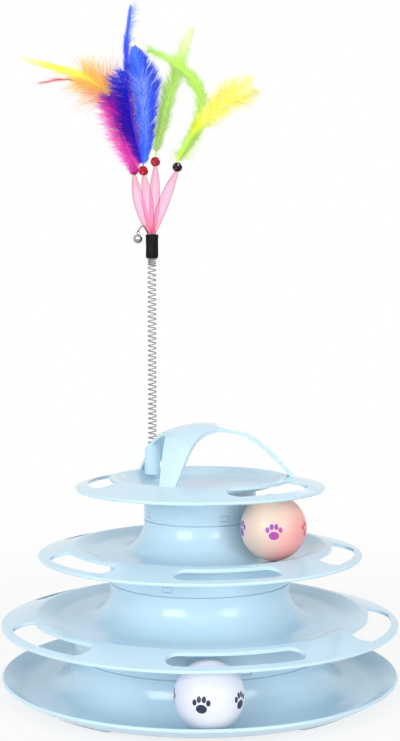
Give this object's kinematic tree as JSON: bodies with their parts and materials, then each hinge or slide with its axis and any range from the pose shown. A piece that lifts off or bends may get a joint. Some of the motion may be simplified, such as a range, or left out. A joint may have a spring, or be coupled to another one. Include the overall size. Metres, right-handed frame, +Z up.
{
  "type": "cat ball track toy",
  "caption": "Tower of stacked round ball tracks for a cat, with slotted brims, a ball on each track, a domed carry handle and a feather teaser on a soft spring.",
  "frame": {"origin": "on the floor under the tower's axis, at the bottom of the rubber feet", "axes": "+Z up; the front, where the lowest ball rests, faces -Y; +X to the viewer's right"},
  "size_m": [0.2502, 0.2502, 0.4361],
  "materials": {
    "tray_blue": "glossy moulded",
    "foot_rubber": "matte",
    "ball_white": "satin moulded",
    "ball_pearl": "satin, translucent",
    "holder_white": "moulded",
    "cell_steel": "plated",
    "board_green": "coated board",
    "lamp_red": "clear tinted",
    "switch_steel": "plated",
    "plug_blue": "moulded",
    "spring_steel": "bright wire",
    "sleeve_black": "satin",
    "ribbon_pink": "open mesh",
    "bead_magenta": "glossy",
    "bead_red": "glossy",
    "bead_rose": "glossy",
    "bead_plum": "glossy",
    "feather_blue": "barbed",
    "feather_magenta": "downy",
    "feather_orange": "downy",
    "feather_red": "barbed",
    "feather_green": "barbed",
    "feather_lime": "barbed",
    "feather_yellow": "barbed",
    "wire_red": "lacquered wire",
    "bell_metal": "polished",
    "pellet_steel": "plain"
  },
  "bodies": {
    "tower": {"base_tray": "tray_blue", "lower_tray": "tray_blue", "middle_tray": "tray_blue", "top_tray": "tray_blue", "carry_handle": "tray_blue", "rubber_feet": "foot_rubber"},
    "lower_ball": {"lower_ball_top_shell": "ball_white", "lower_ball_bottom_shell": "ball_white"},
    "middle_ball": {"middle_ball_top_shell": "ball_white", "middle_ball_bottom_shell": "ball_white"},
    "upper_ball": {"upper_ball_top_shell": "ball_pearl", "upper_ball_bottom_shell": "ball_pearl", "light_holder": "holder_white", "button_cells": "cell_steel", "light_board": "board_green", "light_lamp": "lamp_red", "motion_switch": "switch_steel"},
    "teaser_mount": {"teaser_plug": "plug_blue", "teaser_spring": "spring_steel"},
    "teaser_head": {"teaser_sleeve": "sleeve_black", "ribbon_left": "ribbon_pink", "ribbon_front": "ribbon_pink", "ribbon_middle": "ribbon_pink", "ribbon_right": "ribbon_pink", "bead_magenta": "bead_magenta", "bead_red": "bead_red", "bead_rose": "bead_rose", "bead_plum": "bead_plum", "feather_blue_long": "feather_blue", "feather_blue_broad": "feather_blue", "feather_magenta": "feather_magenta", "feather_orange": "feather_orange", "feather_red": "feather_red", "feather_green": "feather_green", "feather_lime": "feather_lime", "feather_yellow": "feather_yellow", "bell_wire": "wire_red"},
    "bell": {"bell_shell": "bell_metal", "bell_pellet": "pellet_steel"}
  },
  "joints": [
    {"name": "lower_ball_orbit", "type": "hinge", "parent": "tower", "child": "lower_ball", "pos_m": [0, 0, 0.0248], "axis": [0, 0, 1], "continuous": true},
    {"name": "middle_ball_orbit", "type": "hinge", "parent": "tower", "child": "middle_ball", "pos_m": [0, 0, 0.0668], "axis": [0, 0, 1], "continuous": true},
    {"name": "upper_ball_orbit", "type": "hinge", "parent": "tower", "child": "upper_ball", "pos_m": [0, 0, 0.1088], "axis": [0, 0, 1], "continuous": true},
    {"name": "teaser_turn", "type": "hinge", "parent": "tower", "child": "teaser_mount", "pos_m": [-0.03102, 0.024, 0.1405], "axis": [0, 0, 1], "continuous": true},
    {"name": "spring_sway", "type": "hinge", "parent": "teaser_mount", "child": "teaser_head", "pos_m": [-0.03102, 0.024, 0.214], "axis": [0, 1, 0], "range_deg": [-60, 60], "stiffness_Nm_per_rad": 0.04, "deforming": ["teaser_spring"]},
    {"name": "bell_swing", "type": "hinge", "parent": "teaser_head", "child": "bell", "pos_m": [-0.04022, 0.024, 0.29025], "axis": [0, 1, 0], "range_deg": [-22, 50]}
  ]
}
